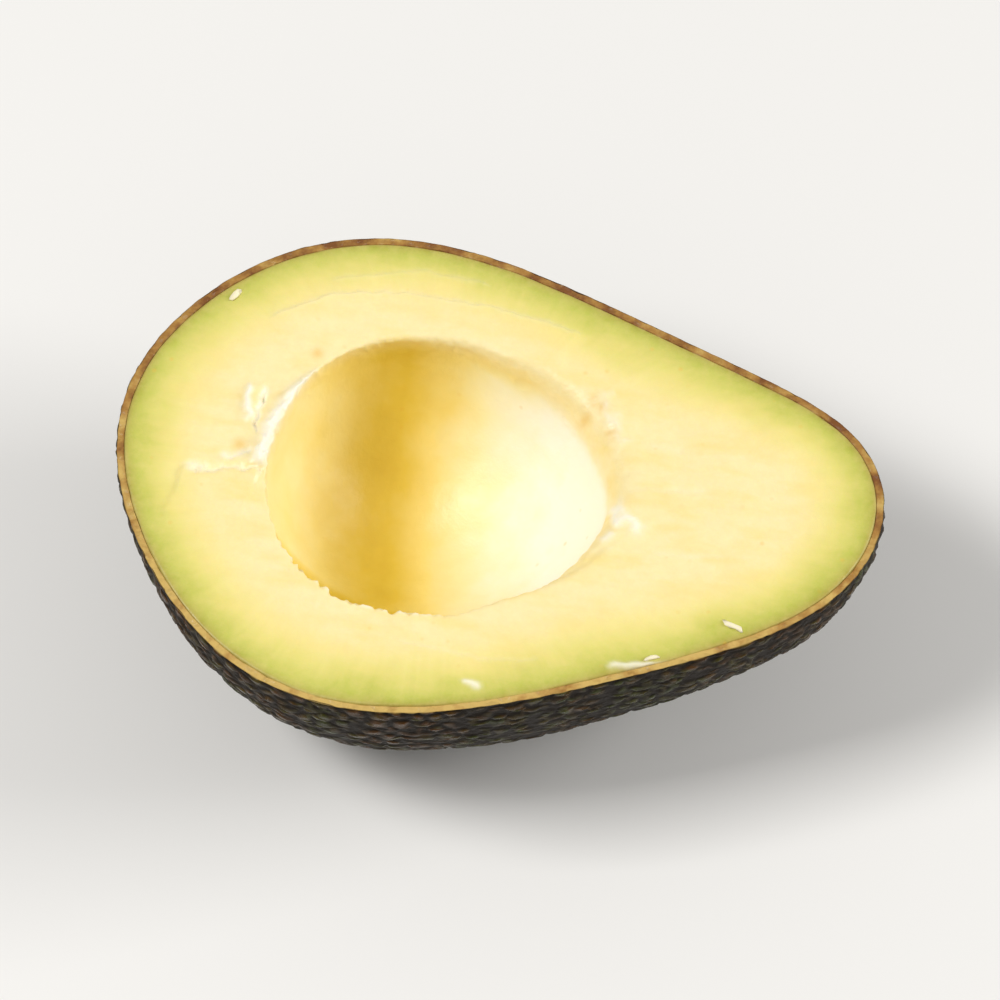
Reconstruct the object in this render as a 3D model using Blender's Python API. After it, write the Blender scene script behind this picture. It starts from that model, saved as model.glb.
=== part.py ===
"""Half of a ripe, pebble-skinned avocado, cut lengthways, with its stone lifted out.

The half lies on its rounded back with the cut face level and facing up. +X runs from the
blunt end to the neck, +Y across the fruit and +Z out of the cut face. The origin lies on the
surface that the half rests on, under the middle of its bounding box.

It is two solids, as a knife shows them: the leathery skin, an open shell, and the flesh that
fills it, with the hollow that the stone left.
"""

import math

import bmesh
import bpy
from mathutils import Matrix, Vector

MM = 0.001

# The outline of the cut face. At a station c, from -1 at the blunt end to +1 at the neck end,
# the half width is sqrt(1 - c^2) * (middle - taper * c + fill * c^3).
FRUIT_LENGTH = 95.0 * MM
WIDTH_MIDDLE = 31.8 * MM  # from the centre line to the outside at mid-length
WIDTH_TAPER = 13.3 * MM  # narrows the neck half and widens the blunt half
WIDTH_END_FILL = 10.0 * MM  # keeps the neck end blunt in spite of the taper
CENTRE_LINE_BOW = 3.3 * MM  # how far the centre line bows towards -Y at mid-length

# The depth of the rounded back below the cut face, by the same rule.
DEPTH_MIDDLE = 33.5 * MM
DEPTH_TAPER = 6.0 * MM
DEPTH_END_FILL = 4.0 * MM
REST_FLAT = 1.0 * MM  # how much of the soft back is pressed flat where it rests

SKIN_WALL = 1.1 * MM
PEEL_GAP = 0.3 * MM  # clearance between the skin's inner face and the flesh

# The hollow is the stone's lower half. Its centre lies in the plane of the cut face.
STONE_LENGTH = 42.0 * MM
STONE_WIDTH = 39.0 * MM  # at mid-length
STONE_DEPTH = 19.0 * MM
STONE_TAPER = 0.15  # it is this fraction wider at the blunt end, and narrower at the other
STONE_FROM_BLUNT_END = 40.5 * MM
STONE_OFF_CENTRE_LINE = 0.4 * MM  # towards +Y

# How finely the curved faces are divided.
STEPS_ALONG = 40
STEPS_ROUND = 56
STONE_STEPS = 28

HALF_LENGTH = FRUIT_LENGTH / 2


def swell(c, middle, taper, end_fill, inset):
    """The distance from the centre line to the surface at station c, inset by a wall."""
    closing = math.sqrt(max(0.0, 1 - c * c))
    return closing * (middle - taper * c + end_fill * c**3 - inset)


def half_width(c, inset=0.0):
    """Half the width of the cut face at station c."""
    return swell(c, WIDTH_MIDDLE, WIDTH_TAPER, WIDTH_END_FILL, inset)


def depth(c, inset=0.0):
    """How far the back lies below the cut face at station c."""
    return swell(c, DEPTH_MIDDLE, DEPTH_TAPER, DEPTH_END_FILL, inset)


def bow(c):
    """The centre line's place across the fruit at station c, before the fruit is centred."""
    return -CENTRE_LINE_BOW * (1 - c * c)


STATIONS = [math.cos(math.pi * i / STEPS_ALONG) for i in range(STEPS_ALONG + 1)]
HIGHEST_Y = max(bow(c) + half_width(c) for c in STATIONS)
LOWEST_Y = min(bow(c) - half_width(c) for c in STATIONS)
CENTRING = -(HIGHEST_Y + LOWEST_Y) / 2
FACE_HEIGHT = max(depth(c) for c in STATIONS) - REST_FLAT


def centre_line(c):
    """The centre line's place across the fruit at station c, in the part's own frame."""
    return bow(c) + CENTRING


def fruit_point(unit, inset):
    """Carries a point of a unit sphere, whose poles lie on X, to the fruit's surface.

    The result is measured from the cut face, which lies at z = 0.
    """
    c = max(-1.0, min(1.0, unit.x))
    ring = math.hypot(unit.y, unit.z)
    across, down = (unit.y / ring, unit.z / ring) if ring > 1e-6 else (0.0, 0.0)
    return Vector(
        (
            (HALF_LENGTH - inset) * c,
            centre_line(c) + half_width(c, inset) * across,
            depth(c, inset) * down,
        )
    )


def slice_off(bm, place, outward):
    """Cuts everything beyond a level plane off a closed mesh and closes it with a flat face."""
    cut = bmesh.ops.bisect_plane(
        bm,
        geom=bm.verts[:] + bm.edges[:] + bm.faces[:],
        dist=0.001 * MM,
        plane_co=place,
        plane_no=outward,
        clear_outer=True,
    )
    rim = [e for e in cut["geom_cut"] if isinstance(e, bmesh.types.BMEdge)]
    bmesh.ops.contextual_create(bm, geom=rim)
    bmesh.ops.recalc_face_normals(bm, faces=bm.faces)


def fruit_body(inset, halved):
    """A closed mesh of the fruit's shape, inset by a wall and flat where it rests."""
    bm = bmesh.new()
    bmesh.ops.create_uvsphere(
        bm, u_segments=STEPS_ROUND, v_segments=STEPS_ALONG, radius=1.0
    )
    bmesh.ops.rotate(bm, verts=bm.verts, matrix=Matrix.Rotation(math.pi / 2, 3, "Y"))
    for vert in bm.verts:
        vert.co = fruit_point(vert.co, inset)
    slice_off(bm, Vector((0, 0, inset - FACE_HEIGHT)), Vector((0, 0, -1)))
    if halved:
        slice_off(bm, Vector((0, 0, 0)), Vector((0, 0, 1)))
    return bm


def add_object(name, bm, material=None):
    """Makes an object of a mesh that was built from the cut face, and lifts it into place."""
    mesh = bpy.data.meshes.new(name)
    bm.to_mesh(mesh)
    bm.free()
    obj = bpy.data.objects.new(name, mesh)
    obj.location.z = FACE_HEIGHT
    bpy.context.scene.collection.objects.link(obj)
    if material:
        mesh.materials.append(material)
        mesh.shade_smooth()
        mesh.set_sharp_from_angle(angle=math.radians(40))
    return obj


def add_cutter(name, bm):
    """A helper that other objects are cut with. It isn't part of the fruit."""
    cutter = add_object(name, bm)
    cutter.hide_render = True
    cutter.display_type = "WIRE"
    return cutter


def cut_with(obj, cutter):
    """Takes the cutter's shape out of an object."""
    modifier = obj.modifiers.new("cut_" + cutter.name, "BOOLEAN")
    modifier.operation = "DIFFERENCE"
    modifier.object = cutter


def finish(name, colour, roughness):
    """A non-metallic surface of one colour, given as linear red, green and blue."""
    material = bpy.data.materials.new(name)
    material.use_nodes = True
    shader = material.node_tree.nodes["Principled BSDF"]
    shader.inputs["Base Color"].default_value = (*colour, 1.0)
    shader.inputs["Roughness"].default_value = roughness
    shader.inputs["Metallic"].default_value = 0.0
    return material


def make_skin():
    """The leathery skin: the outer half of the fruit, hollowed to an even wall."""
    skin = add_object(
        "skin",
        fruit_body(inset=0.0, halved=True),
        finish("pebbled_skin", (0.020, 0.026, 0.010), 0.40),
    )
    cut_with(skin, add_cutter("inside_of_skin", fruit_body(SKIN_WALL, halved=False)))


def stone_body():
    """The egg-shaped stone that the hollow fitted, with its middle in the cut face."""
    bm = bmesh.new()
    bmesh.ops.create_uvsphere(
        bm, u_segments=2 * STONE_STEPS, v_segments=STONE_STEPS, radius=1.0
    )
    for vert in bm.verts:
        taper = 1 - STONE_TAPER * vert.co.x
        vert.co.x *= STONE_LENGTH / 2
        vert.co.y *= STONE_WIDTH / 2 * taper
        vert.co.z *= STONE_DEPTH * taper
    station = STONE_FROM_BLUNT_END / HALF_LENGTH - 1
    across = centre_line(station) + STONE_OFF_CENTRE_LINE
    middle = Vector((STONE_FROM_BLUNT_END - HALF_LENGTH, across, 0))
    bmesh.ops.translate(bm, verts=bm.verts, vec=middle)
    return bm


def make_flesh():
    """The flesh: it fills the skin to the cut face, less the stone's hollow."""
    flesh = add_object(
        "flesh",
        fruit_body(SKIN_WALL + PEEL_GAP, halved=True),
        finish("buttery_flesh", (0.85, 0.72, 0.30), 0.45),
    )
    cut_with(flesh, add_cutter("stone", stone_body()))


def main():
    """Clears the scene and builds the half."""
    for obj in list(bpy.data.objects):
        bpy.data.objects.remove(obj)
    make_skin()
    make_flesh()


main()
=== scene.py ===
"""The looks of half an avocado, cut lengthways, with its stone lifted out.

It has two grown pieces, the pebbled skin with its cut edge and the buttery flesh with the
hollow that the stone left. A few shreds that the knife left lie on the flesh.

The shape code works in millimetres, with z measured from the plane of the cut face. A mesh is
moved to the frame's metres, with the floor at z = 0, when it is done. The two big pieces are
rolled up from a level grid: its first row is drawn together at the bottom of the bowl, the rows
after it climb the bowl, cross the rim and run down the outside, and its last row is drawn
together at the underside.
"""

import logging
import math
from collections.abc import Callable, Sequence
from dataclasses import dataclass, field
from enum import Enum

import bpy
import numpy as np
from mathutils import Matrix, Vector, noise


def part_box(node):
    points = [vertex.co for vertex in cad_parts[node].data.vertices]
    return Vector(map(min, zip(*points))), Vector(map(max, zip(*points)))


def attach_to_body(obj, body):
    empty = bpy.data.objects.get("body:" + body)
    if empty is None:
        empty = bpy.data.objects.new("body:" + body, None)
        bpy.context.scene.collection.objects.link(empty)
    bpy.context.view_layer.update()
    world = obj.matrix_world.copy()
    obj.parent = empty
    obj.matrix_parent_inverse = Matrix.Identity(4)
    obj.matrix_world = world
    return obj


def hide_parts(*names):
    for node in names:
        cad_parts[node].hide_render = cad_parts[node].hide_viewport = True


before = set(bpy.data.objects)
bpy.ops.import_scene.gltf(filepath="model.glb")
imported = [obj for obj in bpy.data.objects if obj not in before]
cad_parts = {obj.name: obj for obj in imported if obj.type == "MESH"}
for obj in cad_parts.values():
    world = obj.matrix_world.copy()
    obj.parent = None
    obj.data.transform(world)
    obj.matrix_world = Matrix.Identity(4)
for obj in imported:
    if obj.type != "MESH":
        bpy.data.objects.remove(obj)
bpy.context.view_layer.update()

MM = 0.001
FULL_TURN = 2 * math.pi
LOG = logging.getLogger("avocado")


def linear(hex_colour: str) -> tuple[float, float, float, float]:
    """Turns an sRGB colour such as "#c6be5e" into linear red, green, blue and alpha.

    Args:
        hex_colour: The colour, with its # sign.

    Returns:
        The four linear values.
    """
    channels = [int(hex_colour[i : i + 2], 16) / 255 for i in (1, 3, 5)]
    light = [c / 12.92 if c <= 0.04045 else ((c + 0.055) / 1.055) ** 2.4 for c in channels]
    return (*light, 1.0)


def add_node(
    tree: bpy.types.NodeTree,
    kind: str,
    sockets: dict | None = None,
    out: str | int = 0,
    **settings: object,
) -> bpy.types.NodeSocket | None:
    """Adds a shader node.

    Args:
        tree: The node tree that it goes into.
        kind: Blender's name for the node, without ShaderNode in front.
        sockets: Input name or number to a value, or to the output that is linked to it.
        out: The name or number of the output to return.
        settings: Properties of the node. stops gives a colour ramp's places and hex colours.

    Returns:
        The node's output, or None if it has none.
    """
    node = tree.nodes.new("ShaderNode" + kind)
    stops = settings.pop("stops", ())
    for name, value in settings.items():
        setattr(node, name, value)
    for name, value in (sockets or {}).items():
        if isinstance(value, bpy.types.NodeSocket):
            tree.links.new(value, node.inputs[name])
        else:
            node.inputs[name].default_value = value
    for i, (place, colour) in enumerate(stops):
        ramp = node.color_ramp.elements
        stop = ramp[i] if i < 2 else ramp.new(place)
        stop.position, stop.color = place, linear(colour)
    return node.outputs[out] if node.outputs else None


def empty_material(name: str) -> bpy.types.Material:
    """Adds a material without any nodes.

    Args:
        name: The material's name.

    Returns:
        The material.
    """
    made = bpy.data.materials.new(name)
    made.use_nodes = True
    made.node_tree.nodes.clear()
    return made


def lumps(vector: bpy.types.NodeSocket, size: float, detail: float, rough: float = 0.5) -> dict:
    """The sockets of a noise whose lumps are size millimetres wide."""
    return {"Vector": vector, "Scale": 1 / (size * MM), "Detail": detail, "Roughness": rough}


def carried(
    value: bpy.types.NodeSocket, low: float, high: float, to_low: float, to_high: float
) -> dict:
    """The sockets of a range that carries low..high to to_low..to_high, and goes no further."""
    ends = {"From Min": low, "From Max": high, "To Min": to_low, "To Max": to_high}
    return {"Value": value, **ends}


def layers(
    factor: bpy.types.NodeSocket,
    under: bpy.types.NodeSocket | tuple,
    over: bpy.types.NodeSocket | tuple,
) -> dict:
    """The sockets of a colour mix, whose colours are its inputs 6 and 7 and its output 2."""
    return {"Factor": factor, 6: under, 7: over}


def noise_at(points: np.ndarray, size: float | Sequence[float], shift: float = 0.0) -> np.ndarray:
    """Smooth noise from about -1 to 1.

    Args:
        points: An n by 3 array, in millimetres.
        size: The size of the noise's lumps in millimetres, or one size for each axis.
        shift: Moves the pattern, so that two noises of one size differ.

    Returns:
        One value for each point.
    """
    scaled = points / np.array(size) + shift
    return np.array([noise.noise(Vector(p)) for p in scaled.tolist()])


def smooth_step(low: float, high: float, value: np.ndarray) -> np.ndarray:
    """Rises smoothly from 0 at low to 1 at high."""
    t = np.clip((value - low) / (high - low), 0, 1)
    return t * t * (3 - 2 * t)


def round_the_clock(angles: np.ndarray, stops: dict[float, float]) -> np.ndarray:
    """Reads a value that is given at some directions, in degrees, at any others in radians.

    Args:
        angles: The directions asked for.
        stops: Direction to value.

    Returns:
        One value for each angle.
    """
    degrees = sorted(stops)
    values = [stops[d] for d in degrees]
    return np.interp(np.degrees(angles) % 360, degrees, values, period=360)


def level_ways(turn: np.ndarray) -> np.ndarray:
    """Level unit vectors in directions that are given in radians."""
    return np.stack([np.cos(turn), np.sin(turn), 0 * turn], axis=-1)


def leaning_ways(flat: np.ndarray, lean: np.ndarray) -> np.ndarray:
    """Level unit vectors turned down by some angles, one row of them for each."""
    down = np.array([0.0, 0.0, -1.0])
    return flat * np.cos(lean)[..., None] + down * np.sin(lean)[..., None]


def close_in(
    outside: Callable[[np.ndarray], np.ndarray], far: np.ndarray, halvings: int
) -> np.ndarray:
    """Finds where a test turns true, on many lines at once.

    Args:
        outside: Tells for a distance on each line whether it lies beyond the place.
        far: A distance on each line that does.
        halvings: How often the stretch that holds the place is halved.

    Returns:
        The distance on each line.
    """
    near = np.zeros_like(far)
    for _ in range(halvings):
        middle = (near + far) / 2
        beyond = outside(middle)
        far = np.where(beyond, middle, far)
        near = np.where(beyond, near, middle)
    return near


@dataclass(frozen=True)
class FruitForm:
    """The pear-like form of the half, in millimetres.

    At a station c, from -1 at the blunt end to +1 at the neck end, the half width and the
    depth are sqrt(1 - c^2) * (middle - taper * c + end_fill * c^3).
    """

    length: float
    face_height: float
    width_middle: float = 31.8
    width_taper: float = 13.3
    width_end_fill: float = 10.0
    bow: float = 3.3
    depth_middle: float = 33.5
    depth_taper: float = 6.0
    depth_end_fill: float = 4.0
    stations: int = 40

    @classmethod
    def from_frame(cls) -> "FruitForm":
        """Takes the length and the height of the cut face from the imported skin."""
        low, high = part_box("skin")
        return cls(length=(high.x - low.x) / MM, face_height=high.z / MM)

    def width_at(self, c: np.ndarray) -> np.ndarray:
        """The half width's second factor at station c."""
        return self.width_middle - self.width_taper * c + self.width_end_fill * c**3

    def depth_at(self, c: np.ndarray) -> np.ndarray:
        """The depth's second factor at station c."""
        return self.depth_middle - self.depth_taper * c + self.depth_end_fill * c**3

    def centre_line(self, c: np.ndarray) -> np.ndarray:
        """The centre line's place across the fruit, with the outline centred on y = 0.

        Args:
            c: Stations from -1 to 1.

        Returns:
            One place for each station.
        """
        at = np.cos(np.pi * np.arange(self.stations + 1) / self.stations)
        bowed = -self.bow * (1 - at**2)
        half = np.sqrt(1 - at**2) * self.width_at(at)
        centring = -((bowed + half).max() + (bowed - half).min()) / 2
        return -self.bow * (1 - c * c) + centring

    def excess(self, points: np.ndarray, inset: float | np.ndarray = 0.0) -> np.ndarray:
        """Below 0 inside the form that is inset by a wall, and above 0 outside it.

        Args:
            points: An array that ends in 3.
            inset: The wall, one for all or one for each point.

        Returns:
            One value for each point.
        """
        c = points[..., 0] / (self.length / 2 - inset)
        across = (points[..., 1] - self.centre_line(c)) / (self.width_at(c) - inset)
        down = points[..., 2] / (self.depth_at(c) - inset)
        return c * c + across * across + down * down - 1

    def reach(
        self, start: np.ndarray, directions: np.ndarray, inset: float = 0.0
    ) -> np.ndarray:
        """Finds how far the form's surface lies from a point inside it.

        Args:
            start: The point, which all the rays share.
            directions: Unit vectors, in an array that ends in 3.
            inset: The wall by which the form is inset.

        Returns:
            One distance for each direction.
        """
        far = np.full(directions.shape[:-1], self.length)
        return close_in(
            lambda way: self.excess(start + directions * way[..., None], inset) > 0, far, 34
        )

    def depth_below_skin(self, points: np.ndarray) -> np.ndarray:
        """How deep each point lies below the outside of the skin.

        Args:
            points: An array that ends in 3.

        Returns:
            One depth for each point, 26 mm at most.
        """
        far = np.full(points.shape[:-1], 26.0)
        return close_in(lambda inset: self.excess(points, inset) > 0, far, 26)

    def normals(self, points: np.ndarray) -> np.ndarray:
        """The outward direction of the form's surface at each point.

        Args:
            points: An n by 3 array.

        Returns:
            As many unit vectors.
        """
        step = 0.02
        slopes = [
            self.excess(points + step * axis) - self.excess(points - step * axis)
            for axis in np.eye(3)
        ]
        slope = np.stack(slopes, axis=-1)
        return slope / np.linalg.norm(slope, axis=-1, keepdims=True)


@dataclass(frozen=True)
class StoneHollow:
    """The hollow that the egg-shaped stone left, in millimetres."""

    form: FruitForm
    length: float = 42.0
    width: float = 39.0
    depth: float = 19.0
    taper: float = 0.15
    from_blunt_end: float = 40.5
    off_centre_line: float = 0.4

    @property
    def centre(self) -> np.ndarray:
        """The middle of the hollow's mouth, in the plane of the cut face."""
        x = self.from_blunt_end - self.form.length / 2
        y = float(self.form.centre_line(np.array(x / (self.form.length / 2))))
        return np.array([x, y + self.off_centre_line, 0.0])

    def wall(self, around: np.ndarray, dip: np.ndarray) -> np.ndarray:
        """Points of the hollow's wall, measured from its centre.

        Args:
            around: The stone's own angle round the mouth, 0 towards the neck.
            dip: The angle from straight down, 0 at the bottom and a quarter turn at the mouth.

        Returns:
            An array of points.
        """
        along = np.sin(dip) * np.cos(around)
        across = np.sin(dip) * np.sin(around)
        wider = 1 - self.taper * along
        return np.stack(
            [
                self.length / 2 * along,
                self.width / 2 * across * wider,
                -self.depth * np.cos(dip) * wider,
            ],
            axis=-1,
        )

    def own_angle(self, directions: np.ndarray) -> np.ndarray:
        """The stone's own angle at which the mouth's edge lies in each direction.

        Args:
            directions: Directions from the middle of the mouth, in radians.

        Returns:
            One angle for each.
        """
        around = np.linspace(0, FULL_TURN, 1441)
        edge = self.wall(around, np.full_like(around, np.pi / 2))
        seen = np.unwrap(np.arctan2(edge[:, 1], edge[:, 0]))
        return np.interp(directions % FULL_TURN, seen, around)


class Part(Enum):
    """The parts of a profile that runs from the bottom of the bowl to the underside."""

    BOWL = "bowl"
    LIP = "lip"
    FACE = "face"
    EDGE = "edge"
    BACK = "back"


@dataclass(frozen=True)
class Grid:
    """The rings and segments of a level grid that is rolled up into a bowl's shape.

    Its columns run round the bowl. Its rows are rings: the first is drawn together at the
    bottom of the bowl, and the last at the underside. The rings of each part follow each other.
    """

    segments: int
    rings: dict[Part, int]

    def steps(self, part: Part) -> np.ndarray:
        """Places from just above 0 to 1 along a part of the profile, one for each ring."""
        return (np.arange(self.rings[part]) + 1) / self.rings[part]

    def level(self, name: str) -> tuple[bpy.types.Object, np.ndarray, np.ndarray]:
        """Adds the level grid.

        Args:
            name: The piece's name.

        Returns:
            The object, and the segment and the ring of each of its vertices.
        """
        bpy.ops.object.select_all(action="DESELECT")
        rows = sum(self.rings.values())
        bpy.ops.mesh.primitive_grid_add(
            x_subdivisions=self.segments, y_subdivisions=rows, size=2.0
        )
        piece = bpy.context.object
        piece.name = piece.data.name = name
        across, up = ((read_points(piece)[:, :2] + 1) / 2).T
        segment = np.rint(across * self.segments).astype(int) % self.segments
        return piece, segment, np.rint(up * rows).astype(int)


def close_up(piece: bpy.types.Object) -> None:
    """Sews a rolled-up grid together along its seam and at both ends, and smooths it.

    Args:
        piece: The mesh, in the frame's metres.
    """
    bpy.ops.object.mode_set(mode="EDIT")
    bpy.ops.mesh.select_all(action="SELECT")
    bpy.ops.mesh.remove_doubles(threshold=0.001 * MM)
    bpy.ops.mesh.normals_make_consistent(inside=False)
    bpy.ops.object.mode_set(mode="OBJECT")
    bpy.ops.object.shade_smooth()
    LOG.info("%s is sewn up", piece.name)


def read_points(piece: bpy.types.Object) -> np.ndarray:
    """A mesh's vertices as an n by 3 array.

    Args:
        piece: The mesh object.

    Returns:
        The places, in the mesh's own unit.
    """
    flat = np.empty(len(piece.data.vertices) * 3, np.float32)
    piece.data.vertices.foreach_get("co", flat)
    return flat.reshape(-1, 3).astype(float)


def write_points(piece: bpy.types.Object, points: np.ndarray) -> None:
    """Moves a mesh's vertices."""
    piece.data.vertices.foreach_set("co", points.astype(np.float32).ravel())
    piece.data.update()


def write_attribute(piece: bpy.types.Object, name: str, values: np.ndarray) -> None:
    """Gives each vertex a number, or a vector, that a material can read.

    Args:
        piece: The mesh object.
        name: What the material calls it.
        values: A number or a vector for each vertex.
    """
    kind, slot = ("FLOAT_VECTOR", "vector") if values.ndim == 2 else ("FLOAT", "value")
    layer = piece.data.attributes.new(name, kind, "POINT")
    layer.data.foreach_set(slot, values.astype(np.float32).ravel())


def place(piece: bpy.types.Object, face_height: float) -> None:
    """Turns a mesh in millimetres, measured from the cut face, into one in the frame.

    Args:
        piece: The mesh object.
        face_height: How high the cut face lies, in millimetres.
    """
    points = read_points(piece)
    points[:, 2] += face_height
    write_points(piece, points * MM)


def attach(
    piece: bpy.types.Object, slot: str, material: bpy.types.Material, *stands_for: str
) -> None:
    """Gives a finished piece its material and ties it to the frame.

    Args:
        piece: The finished mesh.
        slot: A material slot's name; it is not used.
        material: The piece's finish.
        stands_for: The CAD nodes that it replaces.
    """
    piece.data.materials.clear()
    piece.data.materials.append(material)
    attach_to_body(piece, "root")
    if stands_for:
        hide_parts(*stands_for)
    LOG.info("%s: %d faces", piece.name, len(piece.data.polygons))


def even_directions(count: int, curves: list[np.ndarray]) -> np.ndarray:
    """Directions that divide closed curves evenly, on average.

    Args:
        count: How many directions.
        curves: Each curve's radius at equal steps of direction round its middle.

    Returns:
        The directions, in radians.
    """
    fine = np.linspace(0, FULL_TURN, len(curves[0]) + 1)
    travelled = np.zeros(len(fine))
    for radius in curves:
        closed = np.append(radius, radius[0])
        x, y = closed * np.cos(fine), closed * np.sin(fine)
        run = np.append(0, np.cumsum(np.hypot(np.diff(x), np.diff(y))))
        travelled += run / run[-1]
    return np.interp(np.arange(count) / count * len(curves), travelled, fine)


@dataclass(frozen=True)
class Mark:
    """A ridge or a groove on the cut face, along a path in millimetres.

    It rises by height within width of the path. step lifts the ground on its right-hand side,
    seen along the path, and the lift dies away over fade.
    """

    path: tuple[tuple[float, float], ...]
    width: float
    height: float
    step: float = 0.0
    fade: float = 6.0
    ragged: float = 0.3
    torn: float = 0.0

    def seen_from(self, points: np.ndarray) -> tuple[np.ndarray, np.ndarray]:
        """How near each point is to the path.

        Args:
            points: An array of points on the face.

        Returns:
            The signed distance, which is positive on the right-hand side, and a weight that
            falls to 0 beyond the path's two ends.
        """
        wander = self.ragged * noise_at(points, 1.6, 7.0)
        x, y = points[:, 0] + wander, points[:, 1] + wander
        nearest = np.full(len(points), np.inf)
        signed, weight = np.zeros(len(points)), np.zeros(len(points))
        runs = list(zip(self.path, self.path[1:]))
        for i, ((ax, ay), (bx, by)) in enumerate(runs):
            dx, dy = bx - ax, by - ay
            long = math.hypot(dx, dy)
            along = ((x - ax) * dx + (y - ay) * dy) / long
            side = ((x - ax) * dy - (y - ay) * dx) / long
            past = np.maximum(0, np.maximum(-along, along - long))
            distance = np.hypot(side, past)
            nearer = distance < nearest
            nearest = np.where(nearer, distance, nearest)
            signed = np.where(nearer, np.sign(side) * distance, signed)
            ends = np.ones(len(points))
            if i == 0:
                ends *= smooth_step(-0.5 * self.width, 2.0 * self.width, along)
            if i == len(runs) - 1:
                ends *= smooth_step(-0.5 * self.width, 2.0 * self.width, long - along)
            weight = np.where(nearer, ends, weight)
        return signed, weight

    def lift(self, points: np.ndarray) -> tuple[np.ndarray, np.ndarray]:
        """How far the mark lifts each point, and how torn it leaves the flesh there.

        Args:
            points: An array of points on the face.

        Returns:
            The lift in millimetres, and the tearing from 0 to 1.
        """
        signed, weight = self.seen_from(points)
        line = np.exp(-((signed / self.width) ** 2)) * weight
        right = smooth_step(-0.15, 0.25, signed) * np.exp(-np.maximum(signed, 0) / self.fade)
        rough = 0.6 + 0.8 * np.abs(noise_at(points, 0.9, 3.0))
        return self.height * line * rough + self.step * right * weight, self.torn * line


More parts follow.
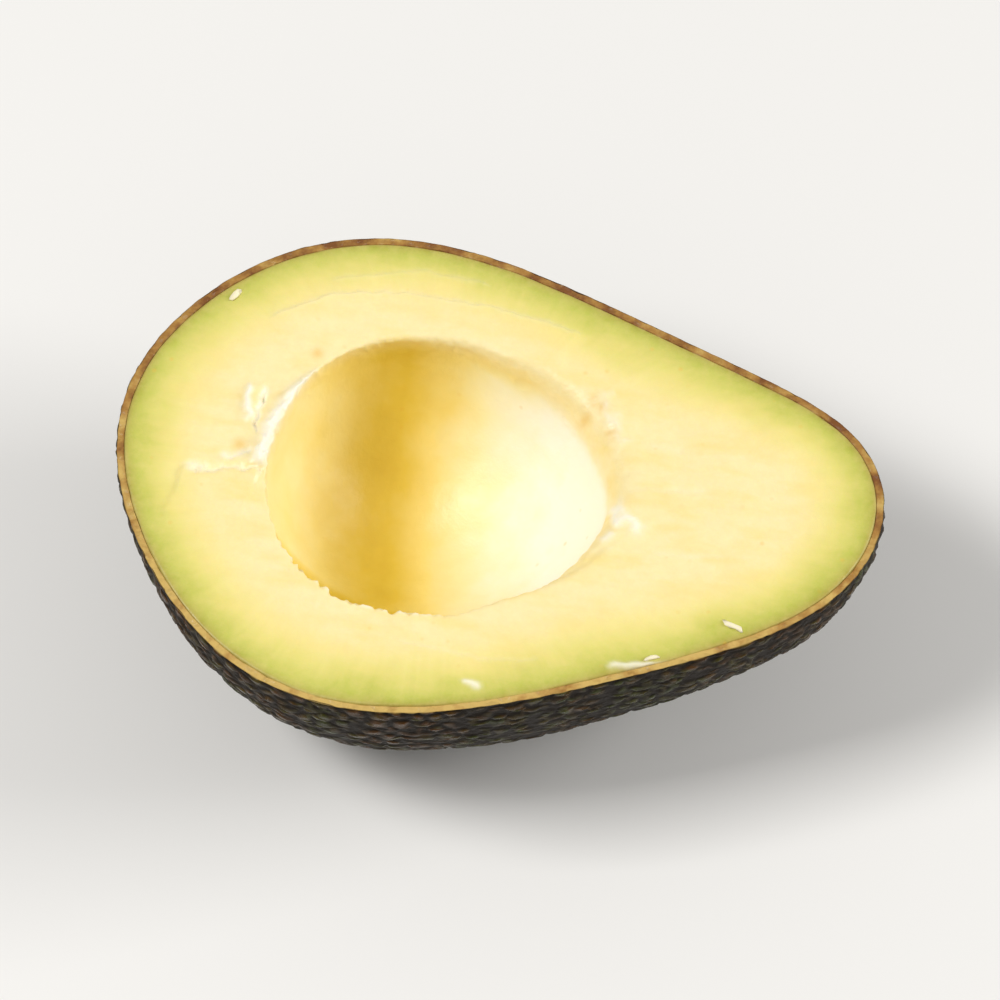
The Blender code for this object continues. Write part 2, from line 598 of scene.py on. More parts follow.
@dataclass(frozen=True)
class ButteryFlesh:
    """Ripe avocado flesh: soft, fatty and opaque, so light scatters a little way into it.

    Chlorophyll near the skin makes it green, and it pales to cream towards the stone. The cut
    surface is moist, so it has a broad soft gloss. The wall of the hollow is painted golden,
    partly as the stone coat's staining and partly as painted shade where the hollow's shadow
    band falls, and near white on its lit side, as painted light.
    """

    green_to_cream: tuple[tuple[float, str], ...] = (
        (0.0, "#94763a"),
        (0.035, "#a99b42"),
        (0.085, "#b1b246"),
        (0.16, "#c1c454"),
        (0.27, "#d2cf65"),
        (0.41, "#e5db79"),
        (0.58, "#f3e491"),
        (0.78, "#fce8a6"),
        (1.0, "#feebb1"),
    )
    shallow: float = 1.0
    deep: float = 12.5
    fibre_width: float = 1.1
    # From painted light on the lit side of the hollow, near white, to golden staining and painted
    # shade.
    lit_pale_to_shaded_gold: tuple[tuple[float, str], ...] = (
        (0.0, "#fffcea"),
        (0.3, "#fdefb4"),
        (0.55, "#f8de80"),
        (0.8, "#eac846"),
        (1.0, "#dcb42c"),
    )
    warm: str = "#fbe08c"
    shade: str = "#efd68a"
    torn_white: str = "#fff8e2"
    vein: str = "#eab53f"

    def material(self, name: str) -> bpy.types.Material:
        """Builds the material.

        Args:
            name: The material's name.

        Returns:
            The material, which reads the attributes skin_depth, hollow, gold_and_shade, torn,
            vein and fibre.
        """
        made = empty_material(name)
        tree = made.node_tree
        where = add_node(tree, "TexCoord", out="Object")
        depth, hollow, gold_and_shade, torn, vein = (
            add_node(tree, "Attribute", out="Fac", attribute_name=layer)
            for layer in ("skin_depth", "hollow", "gold_and_shade", "torn", "vein")
        )
        fibre = add_node(tree, "Attribute", out="Vector", attribute_name="fibre")

        # Lumps a few millimetres wide, and fibres that run in from the skin to the stone.
        soft = add_node(tree, "TexNoise", lumps(where, 6.0, 3.0))
        fibres = add_node(
            tree, "TexNoise", {"Vector": fibre, "Scale": 1 / self.fibre_width, "Detail": 3.0}
        )
        by_lumps = add_node(tree, "MapRange", carried(soft, 0.25, 0.75, -0.8, 0.8))
        by_fibres = add_node(tree, "MapRange", carried(fibres, 0.25, 0.75, -0.35, 0.35))
        uneven = add_node(tree, "Math", {0: by_lumps, 1: by_fibres}, operation="ADD")
        inside = add_node(tree, "MapRange", carried(depth, 1.3, 4.0, 0.0, 1.0))
        shifted = add_node(
            tree, "Math", {0: uneven, 1: inside, 2: depth}, operation="MULTIPLY_ADD"
        )
        along = add_node(tree, "MapRange", carried(shifted, self.shallow, self.deep, 0.0, 1.0))
        base = add_node(tree, "ValToRGB", {"Fac": along}, stops=self.green_to_cream)

        # Warm smears that the knife drew out along the cut.
        stretched = {"Vector": where, "Scale": (0.35, 1.0, 1.0)}
        drawn = add_node(tree, "TexNoise", lumps(add_node(tree, "Mapping", stretched), 3.0, 4.0))
        smear = add_node(tree, "MapRange", carried(drawn, 0.46, 0.70, 0.0, 0.7))
        by_depth = add_node(tree, "Math", {0: along, 1: smear}, operation="MULTIPLY")
        warmed = layers(by_depth, base, linear(self.warm))
        smeared = add_node(tree, "Mix", warmed, 2, data_type="RGBA")

        fine = add_node(tree, "TexNoise", lumps(where, 1.3, 5.0, 0.7))
        grains = add_node(tree, "MapRange", carried(fine, 0.30, 0.70, 0.0, 0.30))
        grained = layers(grains, smeared, linear(self.shade))
        face = add_node(tree, "Mix", grained, 2, data_type="RGBA")

        # The hollow's wall: golden staining and painted shade, a little blotched, from painted
        # near-white light to dark gold.
        blotches = add_node(tree, "MapRange", carried(soft, 0.3, 0.7, -0.07, 0.07))
        stain_and_painted_shade = add_node(tree, "Math", {0: gold_and_shade, 1: blotches}, operation="ADD", use_clamp=True)
        wall = add_node(tree, "ValToRGB", {"Fac": stain_and_painted_shade}, stops=self.lit_pale_to_shaded_gold)
        walled = add_node(tree, "Mix", layers(hollow, face, wall), 2, data_type="RGBA")

        # The cut ends of the veins that fed the stone, and specks of them elsewhere.
        spacing = {"Vector": where, "Scale": 1 / (2.6 * MM), "Randomness": 1.0}
        near = add_node(tree, "TexVoronoi", spacing)
        fleck = add_node(tree, "MapRange", carried(near, 0.05, 0.16, 0.30, 0.0))
        wide = add_node(tree, "TexNoise", lumps(where, 9.0, 1.0))
        banded = add_node(tree, "MapRange", carried(wide, 0.50, 0.62, 0.0, 1.0))
        sparse = add_node(tree, "Math", {0: fleck, 1: banded}, operation="MULTIPLY")
        veined = add_node(tree, "Math", {0: sparse, 1: vein}, operation="MAXIMUM")
        specked = layers(veined, walled, linear(self.vein))
        flecked = add_node(tree, "Mix", specked, 2, data_type="RGBA")
        opened = layers(torn, flecked, linear(self.torn_white))
        colour = add_node(tree, "Mix", opened, 2, data_type="RGBA")

        # Mealy cells under the knife: lumps of about a millimetre, a little coarser than real.
        cells = add_node(tree, "TexNoise", lumps(where, 0.9, 4.0, 0.62))
        bump = add_node(
            tree, "Bump", {"Strength": 0.5, "Distance": 0.14 * MM, "Height": cells}
        )
        shader = add_node(
            tree,
            "BsdfPrincipled",
            {
                "Base Color": colour,
                "Roughness": add_node(tree, "MapRange", carried(soft, 0.3, 0.7, 0.34, 0.52)),
                "IOR": 1.46,
                "Normal": bump,
                "Subsurface Weight": 0.15,
                "Subsurface Radius": (1.0, 0.8, 0.35),
                "Subsurface Scale": 2.0 * MM,
            },
        )
        add_node(tree, "OutputMaterial", {"Surface": shader})
        return made


@dataclass(frozen=True)
class PebbledSkin:
    """The leathery skin of a ripe fruit: nearly black green with a brown cast and a waxy gloss.

    Each pebble is greener or browner than the next, and the furrows between them are duller
    and painted darker, as shade in the recesses. Where the knife cut the skin, its edge shows
    tan, painted paler on its lit front side.
    """

    # The furrows' colour is painted shade; the other colours are the skin's own.
    furrow_painted_shade: str = "#1b1207"
    brown: str = "#50330f"
    green: str = "#3d420d"
    cut_brown: str = "#80532e"
    cut_tan: str = "#ab7f42"
    # The palest tan is painted light on the front of the cut edge.
    cut_pale_lit: str = "#cfae64"
    scar_dark: str = "#2e2014"
    scar_pale: str = "#70583c"
    pebble_size: float = 1.25

    def material(self, name: str) -> bpy.types.Material:
        """Builds the material.

        Args:
            name: The material's name.

        Returns:
            The material, which reads the attributes pebble, cut and scar.
        """
        made = empty_material(name)
        tree = made.node_tree
        where = add_node(tree, "TexCoord", out="Object")
        pebble, cut, scar = (
            add_node(tree, "Attribute", out="Fac", attribute_name=layer)
            for layer in ("pebble", "cut", "scar")
        )

        # Small pebbles between the big modelled ones, drawn out along the fruit.
        bend = add_node(tree, "TexNoise", lumps(where, 2.6, 2.0), "Color")
        bent = add_node(
            tree, "MixRGB", {"Fac": 0.0016, "Color1": where, "Color2": bend}, blend_type="ADD"
        )
        drawn_out = add_node(tree, "Mapping", {"Vector": bent, "Scale": (0.72, 1.0, 1.0)})
        distance = add_node(
            tree,
            "TexVoronoi",
            {
                "Vector": drawn_out,
                "Scale": 1 / (self.pebble_size * MM),
                "Smoothness": 0.35,
                "Randomness": 0.95,
            },
            feature="SMOOTH_F1",
        )
        small = add_node(tree, "MapRange", carried(distance, 0.12, 0.62, 1.0, 0.0))

        # Each pebble leans to green or to brown, and so do patches of them.
        broad = add_node(tree, "TexNoise", lumps(where, 13.0, 3.0, 0.6))
        patches = add_node(tree, "MapRange", carried(broad, 0.38, 0.62, -0.4, 0.4))
        chance = add_node(tree, "SeparateColor", {"Color": distance.node.outputs["Color"]})
        leaning = add_node(
            tree, "Math", {0: chance, 1: patches}, operation="ADD", use_clamp=True
        )
        tones = layers(leaning, linear(self.brown), linear(self.green))
        tops = add_node(tree, "Mix", tones, 2, data_type="RGBA")
        # Painted shade: the furrows between the pebbles are darkened towards the furrow colour.
        relief = add_node(tree, "Math", {0: small, 1: pebble}, operation="ADD")
        high = add_node(tree, "MapRange", carried(relief, 0.45, 1.55, 0.0, 1.0))
        sunken = layers(high, linear(self.furrow_painted_shade), tops)
        skin = add_node(tree, "Mix", sunken, 2, data_type="RGBA")

        woody = add_node(tree, "TexNoise", lumps(where, 1.1, 4.0, 0.65))
        corky = add_node(tree, "MapRange", carried(woody, 0.38, 0.66, 0.0, 1.0))
        corks = layers(corky, linear(self.scar_dark), linear(self.scar_pale))
        cork = add_node(tree, "Mix", corks, 2, data_type="RGBA")
        scarred = add_node(tree, "Mix", layers(scar, skin, cork), 2, data_type="RGBA")

        # The cut edge is painted paler towards the front (-y) and browner towards the back, as
        # painted light and shade, with mottled tan and brown over it.
        side = add_node(tree, "SeparateXYZ", {"Vector": where}, "Y")
        lit_side_paling = add_node(
            tree, "MapRange", carried(side, -24 * MM, 16 * MM, 0.17, -0.08)
        )
        mottled = add_node(tree, "TexNoise", lumps(where, 3.6, 4.0, 0.6))
        paling_and_mottle = add_node(tree, "Math", {0: lit_side_paling, 1: mottled}, operation="ADD")
        tans = ((0.32, self.cut_brown), (0.48, self.cut_tan), (0.66, self.cut_pale_lit))
        edge = add_node(tree, "ValToRGB", {"Fac": paling_and_mottle}, stops=tans)
        colour = add_node(tree, "Mix", layers(cut, scarred, edge), 2, data_type="RGBA")

        grain = add_node(tree, "TexNoise", lumps(where, 0.5, 3.0, 0.65))
        height = add_node(
            tree, "Math", {0: grain, 1: 0.30, 2: small}, operation="MULTIPLY_ADD"
        )
        bump = add_node(
            tree, "Bump", {"Strength": 1.0, "Distance": 0.30 * MM, "Height": height}
        )
        shader = add_node(
            tree,
            "BsdfPrincipled",
            {
                "Base Color": colour,
                "Roughness": add_node(tree, "MapRange", carried(relief, 0.5, 1.5, 0.55, 0.22)),
                "IOR": 1.47,
                "Specular IOR Level": 0.15,
                "Normal": bump,
            },
        )
        add_node(tree, "OutputMaterial", {"Surface": shader})
        return made


@dataclass(frozen=True)
class Flesh:
    """The flesh, from the skin's inner face to the cut and the stone's hollow."""

    form: FruitForm
    hollow: StoneHollow
    inset: float = 1.3
    edge_round: float = 0.35
    # How far the lip is rounded, and how far it crumbles, by direction in degrees.
    lip_round: dict[float, float] = field(
        default_factory=lambda: {
            0: 4.2, 40: 4.6, 75: 2.2, 105: 0.9, 145: 0.35, 200: 0.3,
            235: 0.35, 275: 0.9, 305: 0.8, 335: 2.6,
        }
    )  # fmt: skip
    crumbling: dict[float, float] = field(
        default_factory=lambda: {
            0: 0.16, 70: 0.12, 130: 0.16, 170: 0.25, 215: 0.30, 228: 0.85,
            268: 0.80, 285: 0.25, 330: 0.18,
        }
    )  # fmt: skip
    # How golden the hollow is painted, by the distance from its middle towards the neck: partly
    # staining, partly painted shade where the shadow band falls, and least on the lit side.
    stain_and_shade_by_x: dict[float, float] = field(
        default_factory=lambda: {
            -21: 0.36, -18: 0.42, -13: 0.66, -9.5: 0.82, -7: 0.82, -3: 0.6, 1: 0.4, 6: 0.2, 13: 0,
        }
    )  # fmt: skip
    marks: tuple[Mark, ...] = (
        # A crack that runs from the hollow towards the blunt end, with a plate lifted below.
        Mark(
            ((-38.3, -2.9), (-35.0, -3.4), (-32.0, -2.4), (-28.4, -2.9)),
            width=0.40, height=-0.55, step=0.55, fade=7.0, ragged=0.8, torn=0.55,
        ),
        Mark(
            ((-34.5, -1.2), (-31.5, -0.4), (-29.8, 0.6)),
            width=0.45, height=-0.40, step=0.25, fade=1.2, ragged=0.8, torn=0.7,
        ),
        # The torn lip on the hollow's upper left, and the grooves behind it. The lip and the
        # short ridge behind it are painted white, partly as torn flesh and partly as painted
        # highlight along their crests.
        Mark(
            ((-29.0, -2.4), (-28.8, 1.6), (-28.2, 5.2), (-26.4, 9.2), (-23.4, 12.8)),
            width=0.95, height=1.15, step=0.0, fade=1.0, ragged=0.7, torn=1.0,
        ),
        Mark(
            ((-30.2, 9.8), (-30.6, 5.6), (-30.0, 2.6)),
            width=0.40, height=-0.55, step=0.4, fade=1.3, ragged=0.7, torn=0.7,
        ),
        Mark(
            ((-32.3, 9.6), (-32.0, 6.6), (-31.2, 4.2)),
            width=0.50, height=0.55, step=0.0, fade=1.3, ragged=0.8, torn=1.0,
        ),
        # The terrace that the knife left above the hollow.
        Mark(
            ((-31.5, 19.6), (-24.5, 24.0), (-16.0, 25.6), (-4.0, 25.3), (6.5, 23.4)),
            width=0.4, height=0.14, step=0.26, fade=4.0, ragged=0.5, torn=0.15,
        ),
        Mark(
            ((-24.9, 26.3), (-14.0, 29.2), (-5.2, 28.6)),
            width=0.4, height=0.10, step=0.16, fade=2.5, ragged=0.5, torn=0.1,
        ),
        # The ridge at the hollow's lower right, and a groove beside it.
        Mark(
            ((3.0, -14.6), (8.0, -12.4), (12.4, -8.8), (15.0, -5.2)),
            width=0.5, height=-0.30, step=0.12, fade=1.6, ragged=0.5, torn=0.0,
        ),
        # Scratches towards the neck.
        Mark(
            ((13.5, 9.8), (22.0, 8.6)),
            width=0.35, height=-0.18, step=0.08, fade=1.5, ragged=0.4, torn=0.15,
        ),
        Mark(
            ((16.0, 2.6), (25.5, 3.6)),
            width=0.35, height=-0.18, step=0.08, fade=1.5, ragged=0.4, torn=0.15,
        ),
        Mark(
            ((20.0, -6.0), (29.0, -5.2)),
            width=0.35, height=-0.15, step=0.08, fade=1.5, ragged=0.4, torn=0.15,
        ),
        Mark(
            ((-8.0, -23.2), (2.0, -24.0), (9.0, -23.0)),
            width=0.35, height=-0.12, step=0.10, fade=2.5, ragged=0.4, torn=0.1,
        ),
        # Where the stone let go, towards the neck.
        Mark(
            ((12.6, 1.4), (14.8, -0.8), (17.0, -2.2), (18.8, -3.8)),
            width=0.9, height=0.45, step=0.0, fade=1.5, ragged=1.1, torn=0.9,
        ),
        Mark(
            ((15.2, -3.4), (13.6, -5.6)),
            width=0.6, height=0.35, step=0.0, fade=1.5, ragged=0.9, torn=0.7,
        ),
        Mark(
            ((10.2, 16.0), (12.4, 12.4), (14.4, 8.0)),
            width=0.6, height=0.30, step=0.0, fade=1.5, ragged=0.9, torn=0.5,
        ),
        # Smears where the knife left the skin.
        Mark(
            ((17.2, -22.5), (22.6, -21.6), (26.6, -20.6)),
            width=0.45, height=0.30, step=0.0, fade=1.0, ragged=0.4, torn=0.7,
        ),
        Mark(
            ((0.4, -27.2), (3.2, -27.9)),
            width=0.40, height=0.30, step=0.0, fade=1.0, ragged=0.4, torn=0.8,
        ),
    )
    veins: tuple[tuple[float, float], ...] = (
        (9.6, 14.1), (11.1, 13.5), (9.0, 12.2), (-24.8, 15.2), (12.6, 10.2), (-31.9, 0.8),
    )  # fmt: skip
    grid: Grid = Grid(
        440,
        {Part.BOWL: 80, Part.LIP: 12, Part.FACE: 92, Part.EDGE: 6, Part.BACK: 24},
    )

    def directions(self) -> np.ndarray:
        """The direction of each segment, even along the mouth and along the outline.

        Returns:
            The directions, in radians.
        """
        fine = np.arange(1440) / 1440 * FULL_TURN
        outline = self.form.reach(self.hollow.centre, level_ways(fine), self.inset)
        around = self.hollow.own_angle(fine)
        mouth = self.hollow.wall(around, np.full_like(around, np.pi / 2))
        return even_directions(
            self.grid.segments, [outline, np.hypot(mouth[:, 0], mouth[:, 1])]
        )

    def profile(self) -> np.ndarray:
        """The smooth shape, as points by ring and segment, before the knife's marks.

        Returns:
            An array of rings by segments by 3.
        """
        turn = self.directions()
        flat = level_ways(turn)
        around = self.hollow.own_angle(turn)
        mouth = self.hollow.wall(around, np.full_like(around, np.pi / 2))
        rim = mouth * (1 + self.mouth_wander(turn) / np.linalg.norm(mouth, axis=1))[:, None]
        roundness = round_the_clock(turn, self.lip_round)
        outline = flat * self.form.reach(self.hollow.centre, flat, self.inset)[:, None]
        rows = [np.zeros((1, self.grid.segments, 3))]
        rows[0][..., 2] = -self.hollow.depth

        widest = np.arccos(np.clip(roundness / self.hollow.depth, 0, 1))
        bowl = self.hollow.wall(around, np.outer(self.grid.steps(Part.BOWL), widest))
        swelling = np.outer(self.grid.steps(Part.BOWL) ** 6, self.mouth_wander(turn))
        rows.append(bowl + flat * swelling[..., None])

        t = self.grid.steps(Part.LIP)[:, None, None]
        last = rows[-1][-1]
        shoulder = rim + flat * roundness[:, None]
        rows.append((1 - t) ** 2 * last + 2 * t * (1 - t) * rim + t**2 * shoulder)

        t = self.grid.steps(Part.FACE)[:, None, None]
        rows.append(shoulder + (outline - flat * self.edge_round - shoulder) * t)

        t = self.grid.steps(Part.EDGE)[:, None, None] * np.pi / 2
        start = outline - flat * self.edge_round
        drop = np.array([0, 0, -self.edge_round])
        rows.append(start + flat[None] * self.edge_round * np.sin(t) + drop * (1 - np.cos(t)))

        start_lean = self.edge_round / np.linalg.norm(outline, axis=1)
        lean = start_lean + (np.pi / 2 - start_lean) * self.grid.steps(Part.BACK)[:, None]
        ways = leaning_ways(flat, lean)
        rows.append(ways * self.form.reach(self.hollow.centre, ways, self.inset)[..., None])
        return np.concatenate(rows) + self.hollow.centre

    def mouth_wander(self, turn: np.ndarray) -> np.ndarray:
        """How far the mouth's edge strays from the stone's smooth outline."""
        return 0.45 * noise_at(level_ways(turn) * self.hollow.width / 2, 9.0, 5.0)

    def stain_and_painted_shade(self, away: np.ndarray) -> np.ndarray:
        """How golden the hollow is painted, at places measured from its middle: partly staining,
        partly painted shade.

        Args:
            away: An n by 3 array.

        Returns:
            One value for each place, from 0 to 1.
        """
        x, y, z = away.T
        curved = x + 0.12 * y - 2 * (y / 19) ** 2
        across = np.interp(curved, list(self.stain_and_shade_by_x), list(self.stain_and_shade_by_x.values()))
        # Painted shade under the hollow's top lip and round its bottom, added as golden colour.
        top = 0.5 * smooth_step(-8, -2, z) * smooth_step(4, 12, y) * smooth_step(15, 5, x)
        bottom = smooth_step(-3, -13, y) * smooth_step(5, -5, x)
        return np.max([across, top, bottom], axis=0)

    def face_relief(self, flat: np.ndarray) -> tuple[np.ndarray, np.ndarray]:
        """How high the cut lies above its plane at points on it, and how torn it is there.

        Args:
            flat: Points in the plane of the cut.

        Returns:
            The height in millimetres, and the tearing from 0 to 1.
        """
        rise = 0.30 * noise_at(flat, 13.0) + 0.12 * noise_at(flat, 5.0, 2.0)
        rise += 0.055 * noise_at(flat, (6.0, 1.1, 1.0), 4.0) + 0.045 * noise_at(flat, 1.3, 6.0)
        torn = np.zeros(len(flat))
        for mark in self.marks:
            height, tearing = mark.lift(flat)
            rise += height
            torn = np.maximum(torn, tearing)
        shreds = noise_at(flat, 1.0, 21.0) + 0.5 * noise_at(flat, 0.6, 22.0)
        return rise + 0.22 * shreds * torn, torn

    def build(self) -> bpy.types.Object:
        """Models the flesh and gives it its attributes.

        Returns:
            The finished mesh.
        """
        piece, segment, ring = self.grid.level("flesh_cut")
        points = self.profile()[ring, segment]
        firsts = np.cumsum([0, *self.grid.rings.values()])
        starts = dict(zip(self.grid.rings, firsts))
        lip = starts[Part.LIP]
        on_face = smooth_step(lip - 4, lip + 6, ring)
        on_face *= 1 - smooth_step(starts[Part.EDGE] + 2, starts[Part.BACK] + 2, ring)
        in_bowl = 1 - smooth_step(lip - 6, lip + 5, ring)

        shown = ring <= starts[Part.BACK] + 2
        lift, torn = np.zeros(len(points)), np.zeros(len(points))
        lift[shown], torn[shown] = self.face_relief(points[shown] * np.array([1, 1, 0]))
        points[:, 2] += lift * on_face

        away = points - self.hollow.centre
        turn = np.arctan2(away[:, 1], away[:, 0])
        inward = -away / np.maximum(np.linalg.norm(away, axis=1, keepdims=True), 1e-6)
        dents = 0.22 * noise_at(points, 9.0, 8.0) + 0.06 * noise_at(points, 2.2, 9.0)
        points += inward * (dents * in_bowl * smooth_step(0, 10, ring))[:, None]
        at_lip = smooth_step(lip - 9, lip - 1, ring) * (1 - smooth_step(lip + 4, lip + 14, ring))
        crumbs = noise_at(points, 1.1, 11.0) + 0.5 * noise_at(points, 0.6, 12.0)
        crumbs = 0.7 * smooth_step(-0.3, 0.5, crumbs) - 0.2
        crumbly = round_the_clock(turn, self.crumbling) * at_lip
        points += (inward * [1, 1, 0] + [0, 0, 0.35]) * (crumbs * crumbly)[:, None]

        depth = self.form.depth_below_skin(np.minimum(points, [np.inf, np.inf, 0]))
        veined = np.zeros(len(points))
        for x, y in self.veins:
            spread = np.hypot(points[:, 0] - x, points[:, 1] - y) / 0.8
            veined = np.maximum(veined, 0.5 * np.exp(-(spread**2)) * on_face)
        run = np.where(ring <= lip, points[:, 2], np.linalg.norm(away, axis=1))
        fibre = np.stack([30 * np.cos(turn), 30 * np.sin(turn), 0.13 * run], axis=-1)
        flake = 0.6 * smooth_step(0.2, 0.7, crumbly) * smooth_step(0.1, 0.6, crumbs)
        write_points(piece, points)
        write_attribute(piece, "skin_depth", depth)
        write_attribute(piece, "hollow", in_bowl)
        # The hollow's golden staining and painted shade.
        write_attribute(piece, "gold_and_shade", self.stain_and_painted_shade(away))
        write_attribute(piece, "vein", veined)
        write_attribute(piece, "fibre", fibre)
        write_attribute(piece, "torn", np.clip(torn * on_face + flake, 0, 1))
        place(piece, self.form.face_height)
        close_up(piece)
        return piece

    def dress(self, piece: bpy.types.Object) -> None:
        """Gives the flesh its finish."""
        attach(piece, "flesh", ButteryFlesh().material("ripe_avocado_flesh"), "flesh")


@dataclass(frozen=True)
class Shred:
    """One shred of flesh on the cut face, in millimetres and degrees."""

    x: float
    y: float
    length: float
    width: float
    turned: float


@dataclass(frozen=True)
class Shreds:
    """The loose shreds of flesh that the knife left beside the skin, painted pale, partly as torn
    flesh and partly as painted glints.
    """

    flesh: Flesh
    shreds: tuple[Shred, ...] = (
        Shred(31.3, -14.6, 2.7, 0.9, -32),
        Shred(-36.4, 21.9, 2.2, 0.9, 38),
        Shred(22.4, -20.6, 2.2, 0.6, 14),
    )
    thickness: float = 0.45

    def build(self) -> bpy.types.Object:
        """Models all the shreds as one piece and gives it its attributes.

        Returns:
            The finished mesh.
        """
        bits = [self.shred(shred) for shred in self.shreds]
        bpy.ops.object.select_all(action="DESELECT")
        for bit in bits:
            bit.select_set(True)
        bpy.context.view_layer.objects.active = bits[0]
        bpy.ops.object.join()
        piece = bpy.context.object
        piece.name = piece.data.name = "flesh_shreds"
        points = read_points(piece)
        even = np.ones(len(points))
        write_attribute(piece, "skin_depth", 12.0 * even)
        # The shreds are painted paler than the flesh round them: partly torn flesh, partly
        # painted glints on the moist cut.
        write_attribute(piece, "torn", 0.5 * even)
        for name in ("hollow", "gold_and_shade", "vein"):
            write_attribute(piece, name, 0.0 * even)
        write_attribute(piece, "fibre", points)
        place(piece, self.flesh.form.face_height)
        bpy.ops.object.shade_smooth()
        LOG.info("%d shreds are joined", len(bits))
        return piece

    def shred(self, shred: Shred) -> bpy.types.Object:
        """Models one shred, a lumpy sliver that is pressed onto the cut.

        Args:
            shred: Its place and size.

        Returns:
            The shred, in millimetres.
        """
        bpy.ops.object.select_all(action="DESELECT")
        bpy.ops.mesh.primitive_uv_sphere_add(segments=10, ring_count=6, radius=1.0)
        bit = bpy.context.object
        points = read_points(bit)
        points *= 1 + 0.6 * noise_at(points, 0.9, shred.x)[:, None]
        points *= np.array([shred.length, shred.width, self.thickness]) / 2
        points[:, 1] += 0.25 * shred.width * np.sin(points[:, 0] * 2)
        turn = math.radians(shred.turned)
        cos, sin = math.cos(turn), math.sin(turn)
        points[:, :2] = points[:, :2] @ np.array([[cos, sin], [-sin, cos]])
        points += np.array([shred.x, shred.y, 0.08])
        points[:, 2] += self.flesh.face_relief(points * np.array([1, 1, 0]))[0]
        write_points(bit, points)
        return bit

    def dress(self, piece: bpy.types.Object) -> None:
        """Gives the shreds the flesh's finish."""
        attach(piece, "flesh", bpy.data.materials["ripe_avocado_flesh"])


@dataclass(frozen=True)
class Scar:
    """A sunken corky spot at the neck end (+1) or the blunt end (-1), in millimetres."""

    end: float
    below_cut: float
    radius: float
    sunk: float


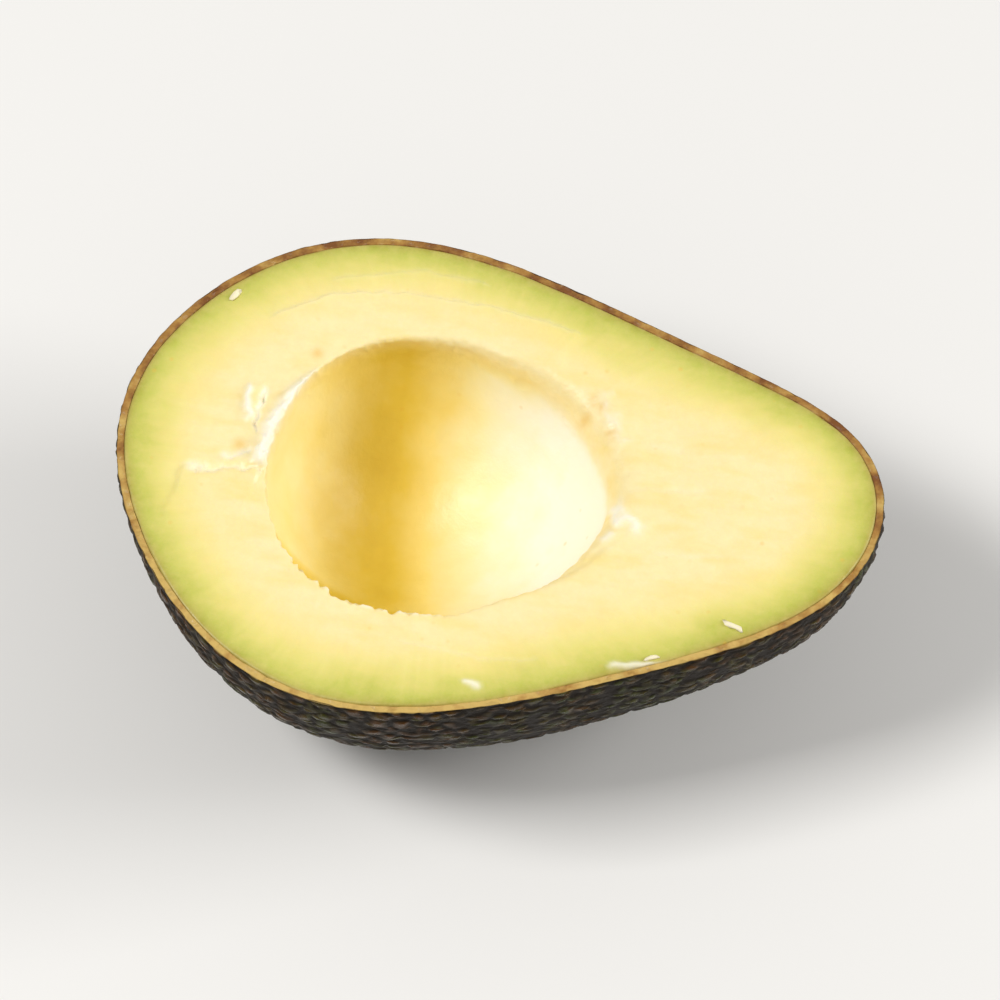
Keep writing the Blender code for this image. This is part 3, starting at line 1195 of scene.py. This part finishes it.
@dataclass(frozen=True)
class Skin:
    """The skin, an open shell with pebbles outside and a cut edge on top."""

    form: FruitForm
    hollow: StoneHollow
    wall: float = 1.4
    pebble: float = 1.9
    pebble_stretch: float = 1.35
    relief: float = 0.30
    edge_round: float = 0.30
    scar_marks: tuple[Scar, ...] = (Scar(1.0, 4.4, 2.7, 0.5), Scar(-1.0, 4.0, 0.9, 0.25))
    grid: Grid = Grid(460, {Part.BOWL: 14, Part.EDGE: 12, Part.BACK: 184})

    def pebbles(self, points: np.ndarray) -> np.ndarray:
        """The height of the pebbled surface, from 0 in a furrow to 1 on a pebble.

        Args:
            points: An n by 3 array.

        Returns:
            One height for each point.
        """
        wander = np.stack([noise_at(points, 4.0, s) for s in (1.0, 2.0, 3.0)], axis=-1)
        cell = np.array([self.pebble * self.pebble_stretch, self.pebble, self.pebble])
        where = (points + 0.8 * wander) / cell
        nearest = np.array([noise.voronoi(Vector(p))[0][:2] for p in where.tolist()])
        border = smooth_step(0.0, 0.42, nearest[:, 1] - nearest[:, 0])
        dome = 1 - np.clip(nearest[:, 0], 0, 1) ** 2
        return border * (0.55 + 0.45 * dome)

    def scars(self, points: np.ndarray) -> np.ndarray:
        """Sinks the corky scars of the stem and of the blossom, and says where they are.

        Args:
            points: The skin's points, which are changed.

        Returns:
            How much scar there is at each, from 0 to 1.
        """
        found = np.zeros(len(points))
        for mark in self.scar_marks:
            across = float(self.form.centre_line(np.array(mark.end)))
            tip = (mark.end * self.form.length / 2, across, -mark.below_cut)
            away = np.linalg.norm(points - tip, axis=1)
            away = (away + 0.5 * noise_at(points, 1.4, 17.0)) / mark.radius
            inside = 1 - smooth_step(0.75, 1.15, away)
            collar = np.exp(-(((away - 1.2) / 0.25) ** 2))
            points[:, 0] += mark.end * mark.sunk * (0.35 * collar - inside)
            found = np.maximum(found, inside)
        return found

    def build(self) -> bpy.types.Object:
        """Models the skin and gives it its attributes.

        Returns:
            The finished mesh.
        """
        piece, segment, ring = self.grid.level("skin_half")
        fine = np.arange(1440) / 1440 * FULL_TURN
        outline = self.form.reach(self.hollow.centre, level_ways(fine))
        turn = even_directions(self.grid.segments, [outline])
        flat = level_ways(turn)

        inner_rows = self.grid.rings[Part.BOWL]
        edge_end = inner_rows + self.grid.rings[Part.EDGE]
        lean = (1 - np.arange(inner_rows + 1) / inner_rows)[:, None] * np.pi / 2
        ways = leaning_ways(flat, lean)
        inner = ways * self.form.reach(self.hollow.centre, ways, self.wall)[..., None]
        inner[-1, :, 2] -= 0.5

        outer_edge = flat * self.form.reach(self.hollow.centre, flat)[:, None]
        inner_edge = flat * self.form.reach(self.hollow.centre, flat, self.wall)[:, None]
        across = self.grid.steps(Part.EDGE)[:, None, None]
        edge = inner_edge + (outer_edge - inner_edge) * across
        edge[..., 2] -= self.edge_round * smooth_step(0.72, 1.0, across[..., 0]) ** 2

        back = self.grid.steps(Part.BACK)
        first_lean = self.edge_round / np.linalg.norm(outer_edge, axis=1)
        lean = first_lean + (np.pi / 2 - first_lean) * back[:, None]
        ways = leaning_ways(flat, lean)
        outer = ways * self.form.reach(self.hollow.centre, ways)[..., None]
        rows = np.concatenate([inner, edge, outer]) + self.hollow.centre
        points = rows[ring, segment]

        outside = smooth_step(edge_end - 4, edge_end, ring)
        on_cut = smooth_step(inner_rows - 1, inner_rows + 1, ring)
        on_cut *= 1 - smooth_step(edge_end - 5, edge_end - 1, ring)
        relief = np.ones(len(points))
        shown = ring >= edge_end - 5
        relief[shown] = self.pebbles(points[shown])
        swell = np.zeros(len(points))
        swell[shown] = 0.25 * noise_at(points[shown], 11.0, 5.0) - 0.25
        inward = -self.form.normals(points)
        sink = (self.relief * (1 - relief) - swell) * outside
        points += inward * sink[:, None]
        ripple = 0.16 * noise_at(points, 2.3, 13.0) + 0.08 * noise_at(points, 0.8, 14.0)
        points[:, 2] += (ripple - 0.05) * on_cut
        points[:, 2] = np.maximum(points[:, 2], -self.form.face_height)

        scar = self.scars(points)
        write_points(piece, points)
        write_attribute(piece, "pebble", relief)
        write_attribute(piece, "cut", on_cut)
        write_attribute(piece, "scar", scar)
        place(piece, self.form.face_height)
        close_up(piece)
        return piece

    def dress(self, piece: bpy.types.Object) -> None:
        """Gives the skin its finish."""
        attach(piece, "skin", PebbledSkin().material("pebbled_avocado_skin"), "skin")


@dataclass(frozen=True)
class Softbox:
    """A soft square light.

    It stands round degrees from the camera's azimuth and elevation degrees above the floor. Its
    side is size metres, and its power is in watts.
    """

    name: str
    round: float
    elevation: float
    size: float
    watts: float


@dataclass(frozen=True)
class Studio:
    """A plain pale floor, soft light and the camera. Lengths are in metres, angles in degrees."""

    azimuth: float = 9.6
    elevation: float = 59.0
    distance: float = 0.9
    frame_width: float = 0.122
    light_distance: float = 1.1
    room_light: float = 0.33
    floor_colour: str = "#eceae6"
    softboxes: tuple[Softbox, ...] = (
        Softbox("key_softbox", -81, 54, 0.36, 7.9),
        Softbox("fill_softbox", 93, 26, 0.50, 7.8),
    )

    def direction(self, azimuth: float, elevation: float) -> Vector:
        """The unit vector towards a place round the object, in degrees."""
        a, e = math.radians(azimuth), math.radians(elevation)
        return Vector((math.sin(a) * math.cos(e), -math.cos(a) * math.cos(e), math.sin(e)))

    def floor(self) -> None:
        """Adds the floor."""
        bpy.ops.object.select_all(action="DESELECT")
        bpy.ops.mesh.primitive_plane_add(size=6.0, location=(0, 0, 0))
        floor = bpy.context.object
        floor.name = "studio_floor"
        paint = bpy.data.materials.new("matt_studio_paper")
        paint.use_nodes = True
        shader = paint.node_tree.nodes["Principled BSDF"]
        shader.inputs["Base Color"].default_value = linear(self.floor_colour)
        shader.inputs["Roughness"].default_value = 0.7
        floor.data.materials.append(paint)

    def light(self, box: Softbox) -> None:
        """Adds a soft light that faces the object.

        Args:
            box: The light.
        """
        towards = self.direction(self.azimuth + box.round, box.elevation)
        target = Vector((0, 0, 0.02))
        bpy.ops.object.light_add(type="AREA", location=target + towards * self.light_distance)
        lamp = bpy.context.object
        lamp.name = box.name
        lamp.rotation_mode = "QUATERNION"
        lamp.rotation_quaternion = towards.to_track_quat("Z", "Y")
        lamp.data.shape = "SQUARE"
        lamp.data.size = box.size
        lamp.data.energy = box.watts

    def world(self) -> None:
        """Fills the room with even white light."""
        room = bpy.data.worlds.new("white_room")
        room.use_nodes = True
        back = room.node_tree.nodes["Background"]
        back.inputs["Color"].default_value = (1, 1, 1, 1)
        back.inputs["Strength"].default_value = self.room_light
        scene = bpy.context.scene
        scene.world = room
        scene.view_settings.view_transform = "Standard"

    def camera(self) -> None:
        """Places the camera, which looks down on the cut face."""
        towards = self.direction(self.azimuth, self.elevation)
        target = Vector((0.0005, 0.0, 0.030))
        bpy.ops.object.camera_add(location=target + towards * self.distance)
        eye = bpy.context.object
        eye.rotation_mode = "QUATERNION"
        eye.rotation_quaternion = towards.to_track_quat("Z", "Y")
        eye.data.sensor_width = 36.0
        eye.data.lens = 36.0 * self.distance / self.frame_width
        bpy.context.scene.camera = eye

    def build(self) -> None:
        """Sets the whole stage."""
        self.floor()
        self.world()
        for box in self.softboxes:
            self.light(box)
        self.camera()


def main() -> None:
    """Builds the pieces in order."""
    logging.basicConfig(level=logging.INFO, format="%(name)s: %(message)s")
    form = FruitForm.from_frame()
    hollow = StoneHollow(form)
    flesh = Flesh(form, hollow)
    for part in (Skin(form, hollow), flesh, Shreds(flesh)):
        part.dress(part.build())
    Studio().build()


if __name__ == "__main__":
    main()
